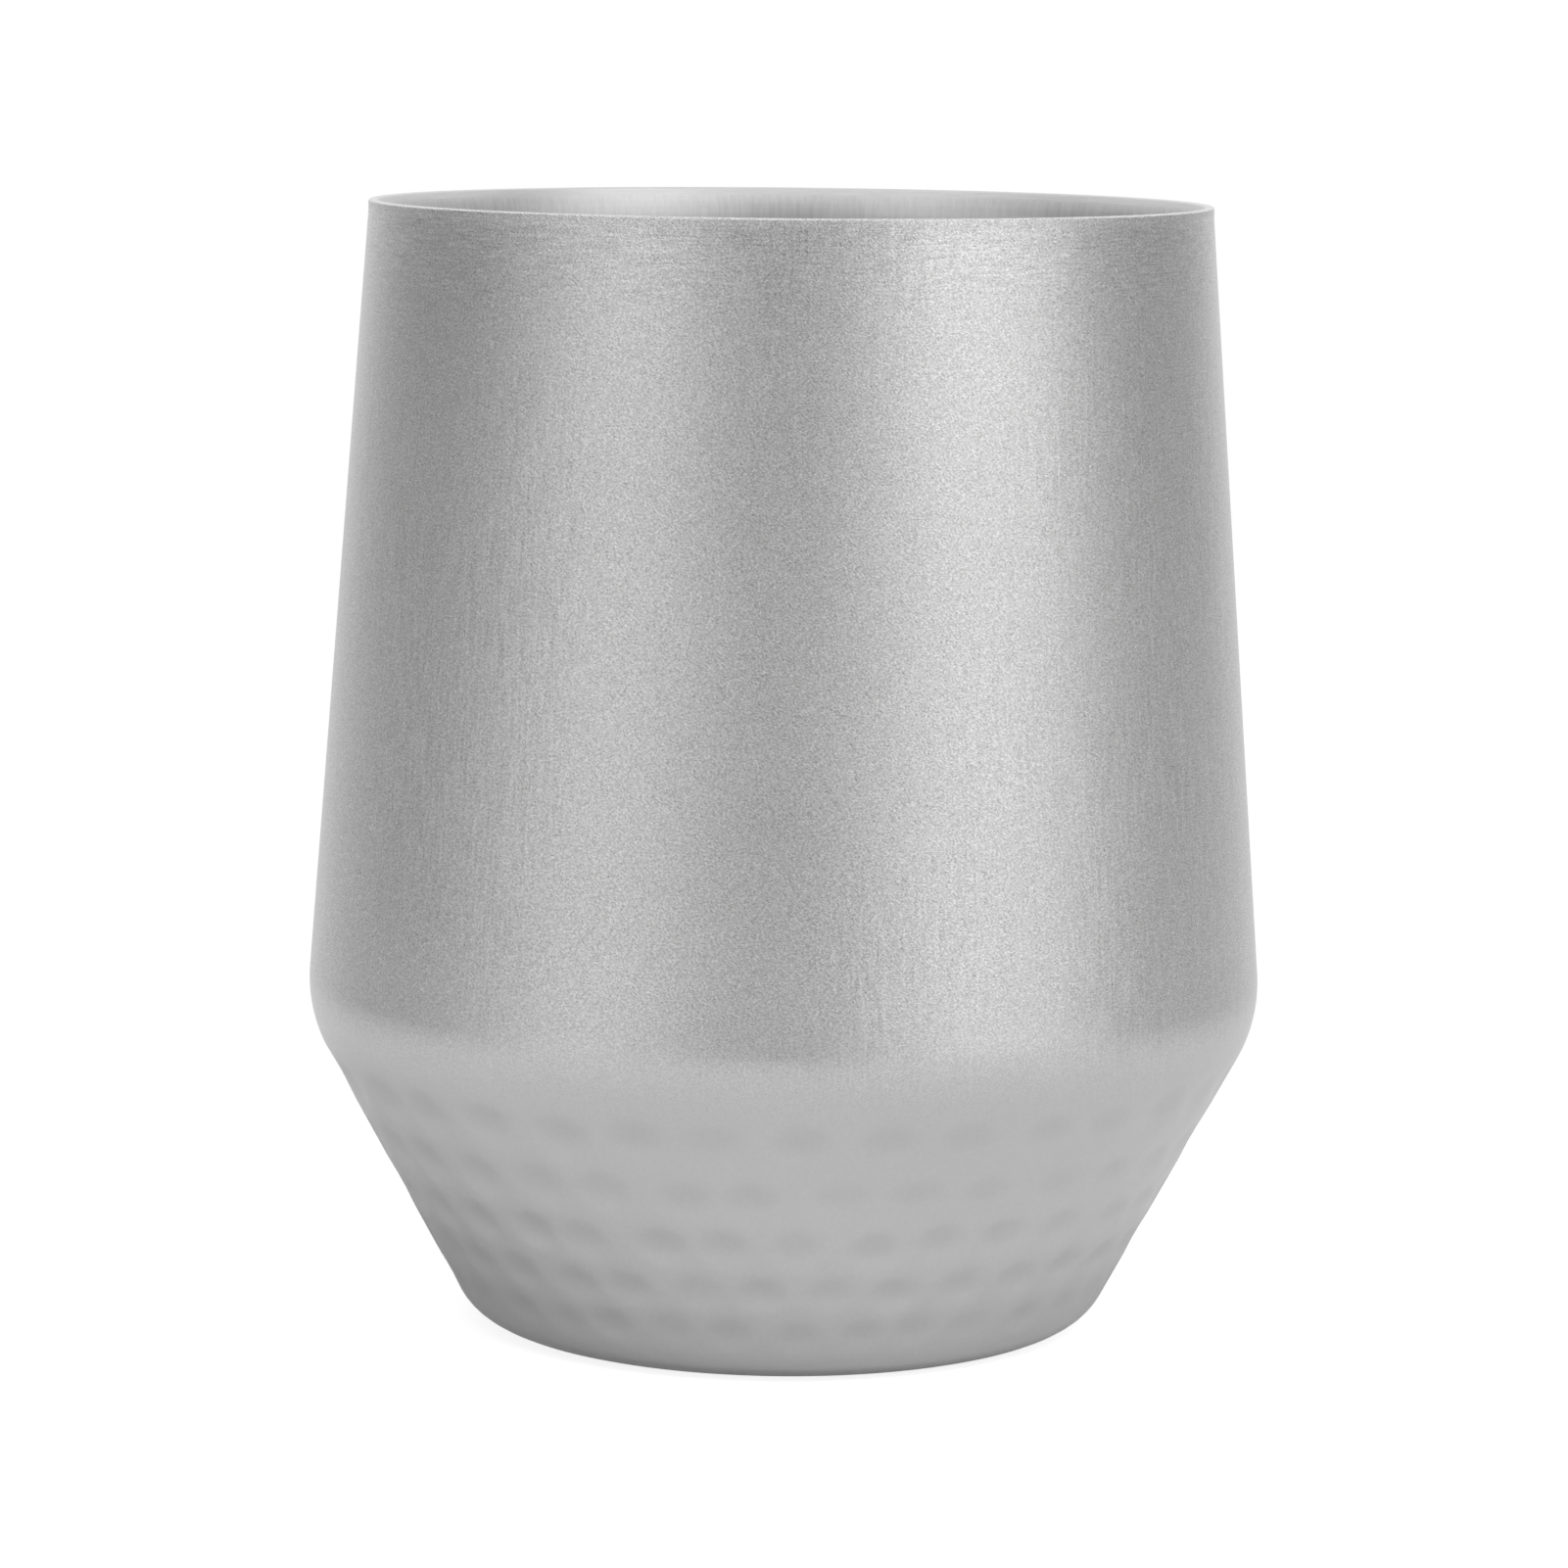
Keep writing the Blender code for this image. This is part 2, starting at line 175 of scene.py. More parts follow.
class CupSizes(bpy.types.PropertyGroup):
    """Sizes of the visible pieces."""

    rim_radius: length("Rim radius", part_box("rim_weld")[1].x, "Outer wall at the lip")
    lip_edge: length("Lip edge", 0.0002, "Rounding of the lip's two edges")
    lip_band: length("Lip band", 0.0011, "Depth below the lip at which the wall starts to lean out")
    lip_rounding: length("Lip rounding", 0.008, "Bend between the upright lip and the leaning wall")
    shoulder_radius: length("Shoulder radius", 0.04425, "Where the wall and the cone would meet")
    shoulder_height: length("Shoulder height", 0.0291, "Height of that meeting point")
    shoulder_rounding: length("Shoulder rounding", 0.013, "Bend from the wall to the cone")
    base_radius: length("Base radius", 0.0286, "Where the cone would meet the table")
    base_rounding: length("Base rounding", 0.0055, "Bend from the cone to the foot")
    neck_radius: length("Neck radius", 0.0215, "Opening in the base")
    neck_rounding: length("Neck rounding", 0.0012, "Bend from the foot to the neck")
    neck_height: length("Neck height", 0.0057, "Top of the neck above the table")
    shell_wall: length("Shell wall", 0.0006, "Sheet of the outer shell")
    liner_wall: length("Liner wall", 0.0005, "Sheet of the liner and its pan")
    lip_gap: length("Lip gap", 0.0003, "Space between the two walls at the lip")
    vacuum_gap: length("Vacuum gap", 0.0030, "Space between the two walls further down")
    mouth_height: length("Mouth height", 0.0034, "Depth of the flare inside the lip")
    mouth_flare: length("Mouth flare", 0.0006, "How far the inner face opens out at the lip")
    liner_band: length("Liner band", 0.0042, "Upright part of the liner below the lip")
    liner_lean: length("Liner lean", 0.012, "Height over which the liner leans in")
    liner_rounding: length("Liner rounding", 0.040, "Bends at both ends of the leaning part")
    liner_seam: length("Liner seam", 0.01785, "Height at which the liner's wall meets its pan")
    pan_rounding: length("Pan rounding", 0.007, "Bend at the liner's floor")
    cap_radius: length("Cap radius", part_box("base_cap")[1].x, "Base cover")
    cap_sheet: length("Cap sheet", 0.0005, "Sheet of the base cover")
    cap_rounding: length("Cap rounding", 0.0009, "Bend at the edge of the base cover")
    cap_ring: length("Cap ring", 0.0135, "Radius of the pressed step in the base cover")
    cap_step: length("Cap step", 0.0004, "Height of that step")
    dimple_columns: IntProperty(name="Dimple columns", default=35, min=3, description="Dimples in one row")
    dimple_rows: IntProperty(name="Dimple rows", default=5, min=1, description="Rows on the cone")
    dimple_start: length("Dimple start", 0.0012, "How far above the straight cone the first row begins")
    dimple_depth: length("Dimple depth", 0.00024, "Depth of one dimple")
    dimple_drift: length("Dimple drift", 0.0003, "How far a dimple strays from its place")
    row_ratio: share("Row ratio", 0.92, "Height of a row over that of the row above it")


class CupColours(bpy.types.PropertyGroup):
    """Colours of the finishes."""

    satin: tint("Satin steel", (0.56, 0.56, 0.56), "Outer wall")
    liner: tint("Liner steel", (0.78, 0.78, 0.78), "Inside of the cup")
    cap: tint("Cap steel", (0.54, 0.54, 0.54), "Base cover")
    pressed: tint("Pressed steel", (0.50, 0.50, 0.50), "Pieces inside the base")
    seam: tint("Seam", (0.42, 0.41, 0.40), "Weld beads")
    straw: tint("Straw", (0.46, 0.36, 0.20), "Heat tint on the weld beads")
    copper: tint("Copper", (0.78, 0.42, 0.28), "Foil in the vacuum space")
    getter: tint("Getter", (0.16, 0.16, 0.17), "Sintered pellet")
    glass: tint("Seal", (0.20, 0.17, 0.15), "Solder glass")
    floor: tint("Floor", (0.80, 0.80, 0.80), "Studio floor")


class CupStudio(bpy.types.PropertyGroup):
    """Camera and light of the studio."""

    distance: length("Camera distance", 0.5128, "Level distance from the cup's axis")
    height: length("Camera height", 0.1223, "Height above the table")
    aside: length("Camera offset", -0.00014, "Sideways distance from the cup's axis")
    pitch: FloatProperty(name="Pitch", default=math.radians(8.05), subtype='ANGLE',
                         description="Downward tilt of the camera")
    roll: FloatProperty(name="Roll", default=math.radians(0.58), subtype='ANGLE',
                        description="Turn of the camera about its line of sight")
    focal: FloatProperty(name="Focal length", default=128.25, unit='CAMERA',
                         description="Lens on a sensor 36 mm wide")
    floor_size: length("Floor size", 0.16, "Radius of the floor")
    floor_plain: length("Floor plain", 0.055, "Radius from which the floor fades into the room")
    floor_glow: share("Floor glow", 0.78, "White that the floor shows besides the light it receives")
    floor_mirrored: share("Floor in steel", 0.14, "The same, as the steel reflects it")
    room: share("Room light", 0.30, "Light of the room on the floor")


def beside(corners, distance):
    """The corners of a path moved to its right-hand side, as seen when walking along it."""
    lines = []
    for start, end in zip(corners, corners[1:]):
        along = (end - start).normalized()
        lines.append((start + Vector((along.y, -along.x)) * distance, along))
    moved = [lines[0][0]]
    for (point_a, along_a), (point_b, along_b) in zip(lines, lines[1:]):
        reach = (point_b - point_a).cross(along_b) / along_a.cross(along_b)
        moved.append(point_a + along_a * reach)
    moved.append(lines[-1][0] + lines[-1][1] * (corners[-1] - corners[-2]).length)
    return moved


def at_height(start, end, height):
    """The point at a height on the line through two points."""
    return start.lerp(end, (height - start.y) / (end.y - start.y))


def corner_arc(before, corner, after, radius, spans):
    """Points of the arc that rounds a corner, from one straight to the next."""
    back = (before - corner).normalized()
    ahead = (after - corner).normalized()
    half = back.angle(ahead) / 2
    centre = corner + (back + ahead).normalized() * radius / math.sin(half)
    start = (corner + back * radius / math.tan(half) - centre).normalized()
    end = (corner + ahead * radius / math.tan(half) - centre).normalized()
    return [centre + start.slerp(end, i / spans) * radius for i in range(spans + 1)]


def rounded_path(corners, radii, spans, cuts):
    """The path with an arc for each inner corner and its straights cut into equal lengths."""
    arcs = [corner_arc(*corners[i:i + 3], radii[i], spans[i]) for i in range(len(radii))]
    starts = [corners[0]] + [arc[-1] for arc in arcs]
    ends = [arc[0] for arc in arcs] + [corners[-1]]
    points = []
    for i, (start, end) in enumerate(zip(starts, ends)):
        points.extend(start.lerp(end, step / cuts[i]) for step in range(cuts[i] + 1))
        if i < len(arcs):
            points.extend(arcs[i][1:-1])
    return points


def outer_corners(sizes):
    """Corners of the outer wall, from the lip down, in along the foot and up the neck."""
    return [Vector((sizes.rim_radius, LIP_LOW)),
            Vector((sizes.rim_radius, CUP_HEIGHT - sizes.lip_band)),
            Vector((sizes.shoulder_radius, sizes.shoulder_height)),
            Vector((sizes.base_radius, 0.0)),
            Vector((sizes.neck_radius, 0.0)),
            Vector((sizes.neck_radius, sizes.neck_height))]


def flared(sizes, spot):
    """A point of the liner's inner face, moved out where the face opens towards the lip."""
    near = max(0.0, 1 - (CUP_HEIGHT - spot.y) / sizes.mouth_height)
    return Vector((spot.x + sizes.mouth_flare * near ** 2, spot.y))


def spin_profile(name, path, columns):
    """Draw a profile by extruding one point along it, then spin it about the upright axis."""
    bpy.ops.object.select_all(action='DESELECT')
    bpy.ops.mesh.primitive_circle_add(vertices=3, radius=START_RADIUS)
    item = bpy.context.object
    item.name = item.data.name = name
    bpy.ops.object.mode_set(mode='EDIT')
    bpy.ops.mesh.select_mode(type='VERT')
    bpy.ops.mesh.select_all(action='SELECT')
    bpy.ops.mesh.merge(type='CENTER')
    bpy.ops.transform.translate(value=(path[0].x, 0.0, path[0].y))
    for start, end in zip(path, path[1:]):
        bpy.ops.mesh.extrude_region_move(
            TRANSFORM_OT_translate={"value": (end.x - start.x, 0.0, end.y - start.y)})
    bpy.ops.mesh.select_all(action='SELECT')
    bpy.ops.mesh.spin(steps=columns, angle=math.tau, center=(0.0, 0.0, 0.0), axis=(0.0, 0.0, 1.0))
    bpy.ops.mesh.select_all(action='SELECT')
    bpy.ops.mesh.remove_doubles(threshold=MERGE_DISTANCE)
    bpy.ops.mesh.normals_make_consistent(inside=False)
    bpy.ops.object.mode_set(mode='OBJECT')
    # On a single sheet the recalculated normals may all point inwards
    if sum(face.normal.xy.dot(face.center.xy) * face.area for face in item.data.polygons) < 0.0:
        bpy.ops.object.mode_set(mode='EDIT')
        bpy.ops.mesh.select_all(action='SELECT')
        bpy.ops.mesh.flip_normals()
        bpy.ops.object.mode_set(mode='OBJECT')
    return item


def thicken(item, wall):
    """Give an outer face its wall, on the inner side."""
    sheet = item.modifiers.new("Wall", 'SOLIDIFY')
    sheet.thickness = wall
    sheet.offset = -1.0
    sheet.use_even_offset = True
    bpy.ops.object.modifier_apply(modifier=sheet.name)


def set_in_place(item, material, node):
    """Shade a piece, give it its finish and let it stand for its solid."""
    bpy.ops.object.shade_smooth_by_angle(angle=SHARP_BEND)
    item.data.materials.append(material)
    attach(item, "root")
    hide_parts(node)


def row_edges(cone_length, sizes):
    """Distances down the cone at which the dimple rows start and end."""
    ratio = sizes.row_ratio
    first = cone_length * (1 - ratio) / (1 - ratio ** sizes.dimple_rows)
    edges = [0.0]
    for row in range(sizes.dimple_rows):
        edges.append(edges[-1] + first * ratio ** row)
    return edges


def hammer(item, cone_top, cone_bottom, sizes):
    """Press staggered rows of shallow bowls into the cone, and store the painted shade at the top of each
    bowl.

    Each bowl is a little out of its place. Across and down run from minus one to one in its cell.
    """
    along = (cone_bottom - cone_top).normalized()
    first = cone_top - along * sizes.dimple_start
    edges = row_edges((cone_bottom - first).length, sizes)
    chance = random.Random(DIMPLE_SEED)
    strays = [[(chance.gauss(0, 1), chance.gauss(0, 1), chance.uniform(*DIMPLE_DEPTHS))
               for column in range(sizes.dimple_columns)] for row in range(sizes.dimple_rows)]
    bowls = item.vertex_groups.new(name="bowls")
    bowl_shades = [0.0] * len(item.data.vertices)
    for vertex in item.data.vertices:
        spot = Vector((math.hypot(vertex.co.x, vertex.co.y), vertex.co.z))
        distance = (spot - first).dot(along)
        if not 0.0 <= distance <= edges[-1] or vertex.co.z > first.y:
            continue
        turns = math.atan2(vertex.co.y, vertex.co.x) * sizes.dimple_columns / math.tau
        weight = bowl_shade = 0.0
        for row, (top, bottom) in enumerate(zip(edges, edges[1:])):
            shifted = turns + (row + 1) / 2
            aside, up, depth = strays[row][round(shifted) % sizes.dimple_columns]
            half_pitch = math.pi * spot.x / sizes.dimple_columns
            across = (shifted - round(shifted)) * 2 + aside * sizes.dimple_drift / half_pitch
            down = (2 * distance - top - bottom + up * sizes.dimple_drift) / (bottom - top)
            wide = 1 - (across / DIMPLE_WIDTH) ** 2
            bowl = max(0.0, wide - (down / DIMPLE_HEIGHT) ** 2) ** DIMPLE_FALL
            weight = max(weight, depth * bowl)
            # Painted shade: a darker crescent over the upper part of each bowl, where the steel mirrors the
            # shaded floor near the foot
            bowl_shade = max(bowl_shade, depth * max(0.0, wide - ((down + SHADE_RISE) / SHADE_HEIGHT) ** 2))
        bowls.add([vertex.index], min(weight, 1.0), 'REPLACE')
        bowl_shades[vertex.index] = bowl_shade
    press = item.modifiers.new("Bowls", 'DISPLACE')
    press.vertex_group = bowls.name
    press.mid_level = 0.0
    press.strength = -sizes.dimple_depth
    bpy.ops.object.modifier_apply(modifier=press.name)
    item.vertex_groups.clear()
    # The painted shade is kept on the points for the outer wall's colour
    painted_bowl_shade = item.data.attributes.new("painted_bowl_shade", 'FLOAT', 'POINT')
    painted_bowl_shade.data.foreach_set("value", bowl_shades)


class Value:
    """A shader socket that takes part in Python expressions."""

    def __init__(self, finish, socket):
        self.finish = finish
        self.socket = socket

    def __add__(self, other):
        return self.finish.maths('ADD', self, other)

    def __sub__(self, other):
        return self.finish.maths('SUBTRACT', self, other)

    def __rsub__(self, other):
        return self.finish.maths('SUBTRACT', other, self)

    def __mul__(self, other):
        return self.finish.maths('MULTIPLY', self, other)

    def __truediv__(self, other):
        return self.finish.maths('DIVIDE', self, other)

    def __rtruediv__(self, other):
        return self.finish.maths('DIVIDE', other, self)

    __radd__ = __add__
    __rmul__ = __mul__


class Finish:
    """A node tree being put together for a surface or for the room."""

    def __init__(self, tree):
        self.tree = tree
        tree.nodes.clear()

    def node(self, kind, settings, sockets, output=0):
        """Add a node, with its settings first and then the values or links of its sockets."""
        item = self.tree.nodes.new("ShaderNode" + kind)
        for name, setting in settings.items():
            setattr(item, name, setting)
        for key, value in sockets.items():
            if isinstance(value, Value):
                self.tree.links.new(value.socket, item.inputs[key])
            else:
                item.inputs[key].default_value = value
        return Value(self, item.outputs[output]) if item.outputs else None

    def maths(self, operation, *terms):
        """A Math node on links or numbers."""
        return self.node('Math', {"operation": operation}, dict(enumerate(terms)))

    def place(self):
        """Object coordinates, which are metres in the cup's own frame."""
        return self.node('TexCoord', {}, {}, 'Object')

    def part(self, vector, axis):
        """One coordinate of a vector, counted from nought."""
        return self.node('SeparateXYZ', {}, {0: vector}, axis)

    def radius(self, vector):
        """Distance from the upright axis."""
        flat = self.stretched(vector, (1.0, 1.0, 0.0))
        return self.node('VectorMath', {"operation": 'LENGTH'}, {0: flat}, 'Value')

    def stretched(self, vector, factors):
        """A vector with each coordinate times a factor of its own."""
        return self.node('VectorMath', {"operation": 'MULTIPLY'}, {0: vector, 1: factors})

    def twisted(self, vector, angle):
        """Coordinates turned about the upright axis by an angle."""
        return self.node('VectorRotate', {"rotation_type": 'Z_AXIS'}, {"Vector": vector, "Angle": angle})

    def noise(self, vector, scale, stretch=None, detail=2.0, roughness=0.55):
        """Noise about nought, seldom beyond a quarter either way, with so many waves to the metre.

        A stretch of less than one draws the pattern out along that axis.
        """
        if stretch:
            vector = self.stretched(vector, stretch)
        pattern = self.node('TexNoise', {}, {"Vector": vector, "Scale": scale, "Detail": detail,
                                             "Roughness": roughness})
        return pattern - 0.5

    def ease(self, value, low, high):
        """Nought below one value and one above another, with a soft step between."""
        return self.node('MapRange', {"interpolation_type": 'SMOOTHSTEP'},
                         {"Value": value, "From Min": low, "From Max": high})

    def band(self, value, start, full, fading, end):
        """One from full to fading, and nought before the start and after the end."""
        return self.ease(value, start, full) * (1.0 - self.ease(value, fading, end))

    def grey(self, level):
        """A colour with all three parts at one level."""
        return self.node('CombineColor', {}, {0: level, 1: level, 2: level})

    def blend(self, factor, first, second, kind='MIX'):
        """Two colours mixed, each a link or three numbers; sockets 6 and 7 are the ones for colours."""
        pair = [colour if isinstance(colour, Value) else (*colour, 1.0) for colour in (first, second)]
        return self.node('Mix', {"data_type": 'RGBA', "blend_type": kind},
                         {"Factor": factor, 6: pair[0], 7: pair[1]}, 2)

    def shaded(self, colour, level):
        """A colour made darker or lighter by a level about one."""
        return self.blend(1.0, colour, self.grey(level), 'MULTIPLY')

    def relief(self, height, depth):
        """A surface normal for a height of one, drawn as a depth in metres."""
        return self.node('Bump', {}, {"Height": height, "Distance": depth})

    def principled(self, **sockets):
        """A principled shader; the words of a socket's name are joined by underscores."""
        named = {key.replace("_", " "): value for key, value in sockets.items()}
        return self.node('BsdfPrincipled', {}, named)

    def surface(self, **sockets):
        """End the tree in a principled shader."""
        self.node('OutputMaterial', {}, {"Surface": self.principled(**sockets)})


def new_finish(name):
    """A material and its empty node tree."""
    material = bpy.data.materials.new(name)
    material.use_nodes = True
    return material, Finish(material.node_tree)


def blasted(finish, place):
    """Grain that leans down to the right, as blasting leaves it on a turning piece."""
    leaning = finish.twisted(place, finish.part(place, 2) / GRAIN_LEAN)
    return finish.noise(leaning, GRAIN_SCALE, GRAIN_STRETCH, roughness=0.6)


def satin_steel(colour):
    """Outer wall: blasted above the shoulder, brushed at the lip, smooth on the cone, with painted shade at
    the top of its bowls.
    """
    material, finish = new_finish("satin_steel")
    place = finish.place()
    height = finish.part(place, 2)
    wall = finish.ease(height, *BLAST_HEIGHTS)
    painted_bowl_shade = finish.node('Attribute', {"attribute_name": "painted_bowl_shade"}, {}, 'Fac')
    brushed = finish.ease(height, *BRUSH_HEIGHTS)
    grain = blasted(finish, place) * wall
    brush = finish.noise(place, 5200.0, (0.07, 0.07, 1.0), detail=3.0, roughness=0.6) * brushed
    patch = finish.ease(finish.noise(place, 45.0, (1.0, 1.0, 0.3)), *DRAWN_PATCH)
    drawn = finish.noise(place, 3200.0, (1.0, 1.0, 0.02)) * wall * patch
    cloud = finish.noise(place, 90.0, detail=3.0)
    skin = finish.noise(place, 2600.0)
    steel = 1.0 + grain * GRAIN_CONTRAST + brush * 0.7 + drawn * 0.45
    # Painted shade darkens the colour in the upper part of each bowl
    level = steel + cloud * 0.06 + skin * 0.10 - painted_bowl_shade * 0.06
    worked = finish.ease(height, *ROUGH_HEIGHTS) * 0.04 - finish.ease(height, *FINE_HEIGHTS) * 0.04
    rough = 0.305 + worked + grain * 0.06 + brush * 0.05 + cloud * 0.04
    height_map = grain + brush * 0.6 + drawn * 0.4 + skin * 0.08
    finish.surface(Base_Color=finish.shaded(colour, level), Metallic=1.0, Roughness=rough,
                   Normal=finish.relief(height_map, depth=0.000018))
    return material


def lip_steel(colour, edge):
    """Lip: brushed round the mouth, with the grain of the wall on its outer face."""
    material, finish = new_finish("lip_steel")
    place = finish.place()
    outside = finish.ease(finish.radius(place), edge - LIP_SMOOTH, edge - LIP_GRAINED)
    grain = blasted(finish, place) * outside
    brush = finish.noise(place, 5000.0, (0.06, 0.06, 1.0), detail=3.0, roughness=0.6)
    nicks = finish.noise(place, 700.0, detail=3.0)
    level = 1.0 + grain * GRAIN_CONTRAST + brush * 0.25 + nicks * 0.06
    finish.surface(Base_Color=finish.shaded(colour, level), Metallic=1.0,
                   Roughness=0.34 + grain * 0.08 + brush * 0.10,
                   Normal=finish.relief(grain + brush * 0.6 + nicks * 0.3, depth=0.00002))
    return material


def drawn_steel(name, colour, roughness):
    """Inside of the cup: drawn lines that run up the wall, faint rings and a duller mouth."""
    material, finish = new_finish(name)
    place = finish.place()
    lines = finish.noise(place, 2200.0, (1.0, 1.0, 0.04), detail=3.0, roughness=0.6)
    rings = finish.noise(place, 1600.0, (0.02, 0.02, 1.0))
    cloud = finish.noise(place, 70.0, detail=3.0)
    mouth = finish.ease(finish.part(place, 2), *MOUTH_HEIGHTS)
    level = 1.0 + lines * 0.30 + rings * 0.08 + cloud * 0.08 - mouth * 0.24
    finish.surface(Base_Color=finish.shaded(colour, level), Metallic=1.0,
                   Roughness=roughness + lines * 0.15 + cloud * 0.08,
                   Normal=finish.relief(lines + rings * 0.4, depth=0.00002))
    return material


def turned_steel(name, colour, roughness):
    """Flat pressings: fine rings about the axis, as a polishing wheel leaves them."""
    material, finish = new_finish(name)
    place = finish.place()
    ring_place = finish.node('CombineXYZ', {}, {0: finish.radius(place), 1: finish.part(place, 2)})
    rings = finish.noise(ring_place, 5200.0, (1.0, 0.2, 1.0), detail=3.0, roughness=0.65)
    grain = finish.noise(place, 2400.0)
    cloud = finish.noise(place, 120.0, detail=3.0)
    finish.surface(Base_Color=finish.shaded(colour, 1.0 + rings * 0.20 + grain * 0.10 + cloud * 0.10),
                   Metallic=1.0, Roughness=roughness + rings * 0.10 + cloud * 0.08,
                   Normal=finish.relief(rings + grain * 0.3, depth=0.000015))
    return material


def weld_steel(colour, straw):
    """Weld beads: ripples along the bead and a straw-coloured heat tint in patches."""
    material, finish = new_finish("weld_steel")
    place = finish.place()
    ripple = finish.noise(place, 1400.0, (1.0, 1.0, 0.3))
    heat = finish.ease(finish.noise(place, 160.0, detail=3.0), *HEAT_PATCH)
    finish.surface(Base_Color=finish.blend(heat * 0.6, colour, straw), Metallic=1.0,
                   Roughness=0.42 + ripple * 0.3, Normal=finish.relief(ripple, depth=0.00008))
    return material


def copper_foil(colour):
    """Foil in the vacuum space: bright, with the creases of its wrapping."""
    material, finish = new_finish("copper_foil")
    place = finish.place()
    crease = finish.noise(place, 260.0, (1.0, 1.0, 0.35), detail=4.0, roughness=0.6)
    stain = finish.noise(place, 60.0, detail=3.0)
    finish.surface(Base_Color=finish.shaded(colour, 1.0 + crease * 0.15 + stain * 0.3), Metallic=1.0,
                   Roughness=0.24 + stain * 0.2, Normal=finish.relief(crease, depth=0.0003))
    return material


def sintered_alloy(colour):
    """Getter pellet: pressed powder, dull and pitted."""
    material, finish = new_finish("sintered_alloy")
    place = finish.place()
    powder = finish.noise(place, 5000.0, detail=4.0, roughness=0.7)
    finish.surface(Base_Color=finish.shaded(colour, 1.0 + powder * 1.2), Metallic=0.6,
                   Roughness=0.72 + powder * 0.3, Normal=finish.relief(powder, depth=0.0001))
    return material


def solder_glass(colour):
    """Seal of the pump-out hole: dark glass with flow marks."""
    material, finish = new_finish("solder_glass")
    place = finish.place()
    flow = finish.noise(place, 900.0, detail=3.0, roughness=0.6)
    finish.surface(Base_Color=finish.shaded(colour, 1.0 + flow * 0.8), Metallic=0.0,
                   Roughness=0.24 + flow * 0.2, Normal=finish.relief(flow, depth=0.0001))
    return material


class CUP_OT_shell(bpy.types.Operator):
    """Outer shell: spun from its profile, hammered on the cone and given its wall"""

    bl_idname = "cup.shell"
    bl_label = "Outer Shell"

    def execute(self, context):
        sizes = context.scene.cup_sizes
        corners = outer_corners(sizes)
        radii = [sizes.lip_rounding, sizes.shoulder_rounding, sizes.base_rounding, sizes.neck_rounding]
        path = rounded_path(corners, radii, spans=[6, 14, 9, 4], cuts=[1, 10, 56, 2, 2])
        cone_top = corner_arc(*corners[1:4], sizes.shoulder_rounding, 1)[1]
        cone_bottom = corner_arc(*corners[2:5], sizes.base_rounding, 1)[0]
        shell = spin_profile("hammered_shell", path, COLUMNS_PER_DIMPLE * sizes.dimple_columns)
        hammer(shell, cone_top, cone_bottom, sizes)
        thicken(shell, sizes.shell_wall)
        set_in_place(shell, satin_steel(context.scene.cup_colours.satin), "outer_shell")
        return {'FINISHED'}


class CUP_OT_lip(bpy.types.Operator):
    """Lip: a bead with rounded edges over the tops of both walls"""

    bl_idname = "cup.lip"
    bl_label = "Lip"

    def execute(self, context):
        sizes = context.scene.cup_sizes
        inner = sizes.rim_radius - sizes.shell_wall - sizes.lip_gap - sizes.liner_wall
        corners = [Vector((sizes.rim_radius, LIP_LOW)),
                   Vector((sizes.rim_radius, CUP_HEIGHT)),
                   flared(sizes, Vector((inner, CUP_HEIGHT))),
                   flared(sizes, Vector((inner, LIP_LOW)))]
        path = rounded_path(corners, [sizes.lip_edge, sizes.lip_edge], spans=[8, 8], cuts=[1, 2, 1])
        lip = spin_profile("rolled_lip", path + [path[0]], LIP_COLUMNS)
        finish = lip_steel(context.scene.cup_colours.satin, sizes.rim_radius)
        set_in_place(lip, finish, "rim_weld")
        return {'FINISHED'}


class CUP_OT_liner(bpy.types.Operator):
    """Inside of the cup: the liner's wall and the pan that closes it below"""

    bl_idname = "cup.liner"
    bl_label = "Liner and Pan"

    def execute(self, context):
        sizes = context.scene.cup_sizes
        colour = context.scene.cup_colours.liner
        gap = beside(outer_corners(sizes), sizes.shell_wall + sizes.vacuum_gap)
        mouth = sizes.rim_radius - sizes.shell_wall - sizes.lip_gap
        lean_top = CUP_HEIGHT - sizes.liner_band
        seam = at_height(gap[2], gap[3], sizes.liner_seam)
        corners = [Vector((mouth, LIP_LOW)),
                   Vector((mouth, lean_top)),
                   at_height(gap[1], gap[2], lean_top - sizes.liner_lean),
                   gap[2],
                   seam]
        wide, sheet = sizes.liner_rounding, sizes.liner_wall
        tight = sizes.shoulder_rounding - sizes.shell_wall - sizes.vacuum_gap
        spans, cuts = [8, 8, 14], [12, 3, 8, 3]
        outer = rounded_path(corners, [wide, wide, tight], spans, cuts)
        inner_radii = [wide - sheet, wide + sheet, tight - sheet]
        inner = rounded_path(beside(corners, sheet), inner_radii, spans, cuts)
        path = outer + [flared(sizes, spot) for spot in reversed(inner)]
        wall = spin_profile("liner_wall", path + [path[0]], LINER_COLUMNS)
        finish = drawn_steel("liner_steel", colour, roughness=0.40)
        set_in_place(wall, finish, "inner_liner")
        floor_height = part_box("liner_bottom")[0].z
        corners = [seam, at_height(gap[2], gap[3], floor_height), Vector((0.0, floor_height))]
        path = rounded_path(corners, [sizes.pan_rounding], spans=[12], cuts=[3, 8])
        pan = spin_profile("liner_pan", path, LINER_COLUMNS)
        thicken(pan, sheet)
        finish = turned_steel("pan_steel", colour, roughness=0.34)
        set_in_place(pan, finish, "liner_bottom")
        return {'FINISHED'}


